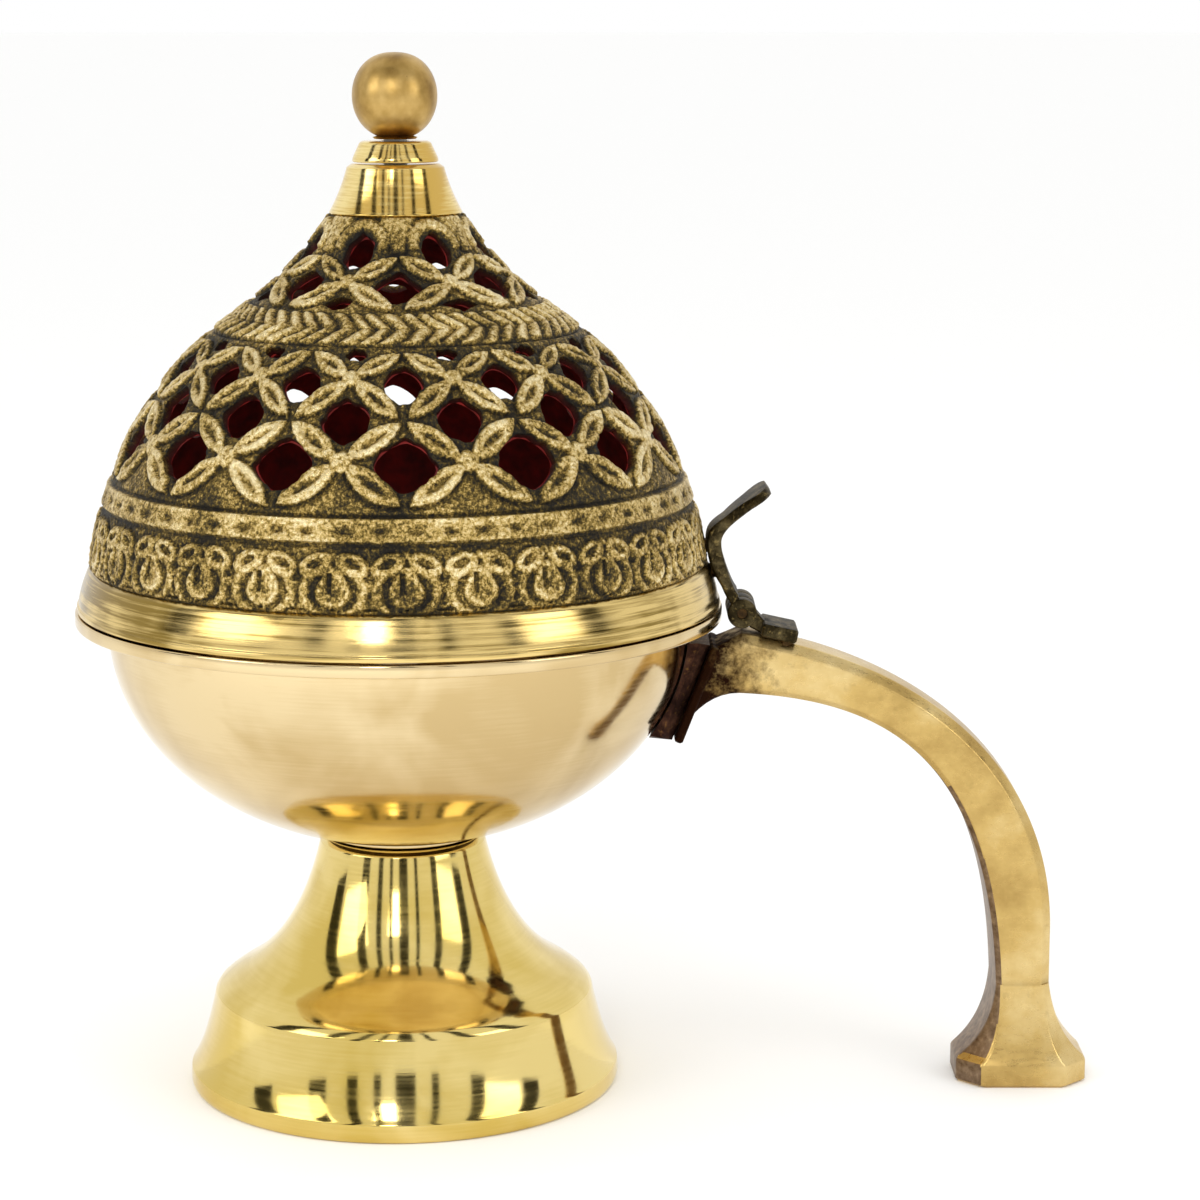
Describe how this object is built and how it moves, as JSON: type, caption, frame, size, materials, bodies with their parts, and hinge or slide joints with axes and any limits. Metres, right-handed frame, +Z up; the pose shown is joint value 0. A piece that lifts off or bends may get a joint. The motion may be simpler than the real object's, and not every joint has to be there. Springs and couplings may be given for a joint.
{
  "type": "incense burner",
  "caption": "Brass incense burner: bowl on a flared pedestal, pierced onion-shaped lid hinged over the bowl and lifted by a thumb lever, arched handle with its own foot.",
  "frame": {"origin": "on the floor, under the middle of the bounding box; the axis of the bowl is 33 mm towards -X from it", "axes": "+Z up along the axis of the bowl, +X towards the handle, +Y along the hinge pin"},
  "size_m": [0.18, 0.114, 0.1832],
  "materials": {
    "polished_brass": "turned and polished",
    "satin_brass": "filed and hand polished",
    "antiqued_brass": "as cast, darkened in the recesses and relieved on the ridges",
    "dark_brass": "dark, heat stained",
    "dark_fastener": "dark, sooted",
    "steel": "plain"
  },
  "bodies": {
    "stand": {"pedestal": "polished_brass", "bowl": "polished_brass", "pedestal_bolt": "dark_fastener", "pedestal_washer": "dark_fastener", "pedestal_nut": "steel", "bowl_bracket": "dark_brass", "handle": "satin_brass", "handle_rivet_near": "dark_brass", "handle_rivet_far": "dark_brass", "hinge_base_leaf": "dark_brass", "base_leaf_rivet_near": "dark_brass", "base_leaf_rivet_far": "dark_brass", "hinge_pin": "dark_brass"},
    "lid": {"lid": "antiqued_brass", "finial_collar": "polished_brass", "finial_knob": "satin_brass", "finial_stud": "steel", "finial_nut": "steel", "hinge_lever_leaf": "dark_brass", "lid_rivet_lower": "dark_brass", "lid_rivet_upper": "dark_brass"}
  },
  "joints": [
    {"name": "lid_hinge", "type": "hinge", "parent": "stand", "child": "lid", "pos_m": [0.0274, 0, 0.0859], "axis": [0, 1, 0], "range_deg": [0, 85]}
  ]
}
